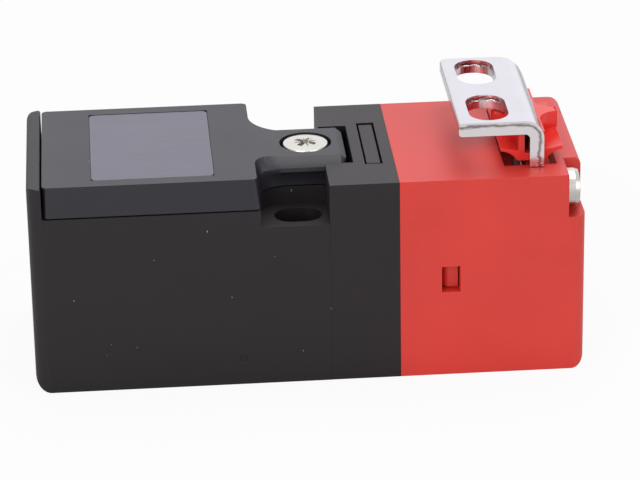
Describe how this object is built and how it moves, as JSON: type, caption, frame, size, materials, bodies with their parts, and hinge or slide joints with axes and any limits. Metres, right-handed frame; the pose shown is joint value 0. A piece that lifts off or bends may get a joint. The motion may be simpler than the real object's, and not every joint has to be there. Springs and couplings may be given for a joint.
{
  "type": "tongue interlock switch",
  "caption": "Guard-door safety switch: black wiring body with screwed cover and fixing recesses, red square head with entry slots, and an angled plated tongue actuator with red guide.",
  "frame": {"origin": "midway between the two fixing holes, on the flat mounting face", "axes": "+X along the switch towards the red actuating head, +Z from the mounting face towards the cover and the upper entry slot, +Y across"},
  "size_m": [0.0781, 0.03, 0.0371],
  "materials": {
    "black_body": "fine-textured black glass-filled plastic",
    "black_cover": "fine-textured black glass-filled plastic",
    "label_grey": "smooth blank grey field",
    "red_plastic": "satin red glass-filled plastic",
    "red_guide": "satin red moulded plastic",
    "zinc_steel": "bright zinc-plated steel",
    "plated_sheet": "bright nickel-plated sheet steel",
    "rubber_black": "black nitrile rubber",
    "steel_axle": "ground steel",
    "spring_steel": "spring steel",
    "cam_zinc": "die-cast zinc",
    "white_plastic": "natural white plastic",
    "grey_plastic": "light grey plastic",
    "brass": "brass"
  },
  "bodies": {
    "switch_body": {"base_housing": "black_body", "collar": "black_body", "collar_insert": "black_body", "head_housing": "red_plastic", "cover_gasket": "rubber_black", "collar_screws": "zinc_steel", "head_screws": "zinc_steel", "head_seal": "rubber_black", "plunger_seal": "rubber_black", "cam_cradle": "red_plastic", "cam_axle": "steel_axle", "return_spring": "spring_steel", "contact_block": "grey_plastic", "nc_contacts": "brass", "no_contacts": "brass", "block_lid": "grey_plastic", "block_screws": "zinc_steel", "terminal_screws": "zinc_steel"},
    "actuator": {"actuator_bracket": "plated_sheet", "actuator_guide": "red_guide"},
    "cam": {"cam_wheel": "cam_zinc"},
    "plunger": {"plunger": "white_plastic", "contact_carrier": "white_plastic", "nc_bridge": "brass", "no_bridge": "brass"},
    "lid": {"cover": "black_cover", "label_plate": "label_grey", "cover_screw": "zinc_steel"}
  },
  "joints": [
    {"name": "actuator_slide", "type": "slide", "parent": "switch_body", "child": "actuator", "axis": [0, 0, 1], "range_m": [0, 0.023]},
    {"name": "cam_turn", "type": "hinge", "parent": "switch_body", "child": "cam", "pos_m": [0.02495, 0, 0.015], "axis": [0, -1, 0], "range_deg": [0, 141.75]},
    {"name": "plunger_slide", "type": "slide", "parent": "switch_body", "child": "plunger", "axis": [-1, 0, 0], "range_m": [0, 0.0035], "deforming": ["return_spring"]},
    {"name": "cover_lift", "type": "slide", "parent": "switch_body", "child": "lid", "axis": [0, 0, 1], "range_m": [0, 0.02]}
  ],
  "couplings": [
    {"joint": "cam_turn", "follows": "actuator_slide", "rad_per_m": 107.55},
    {"joint": "plunger_slide", "follows": "actuator_slide", "ratio": 0.15217}
  ]
}
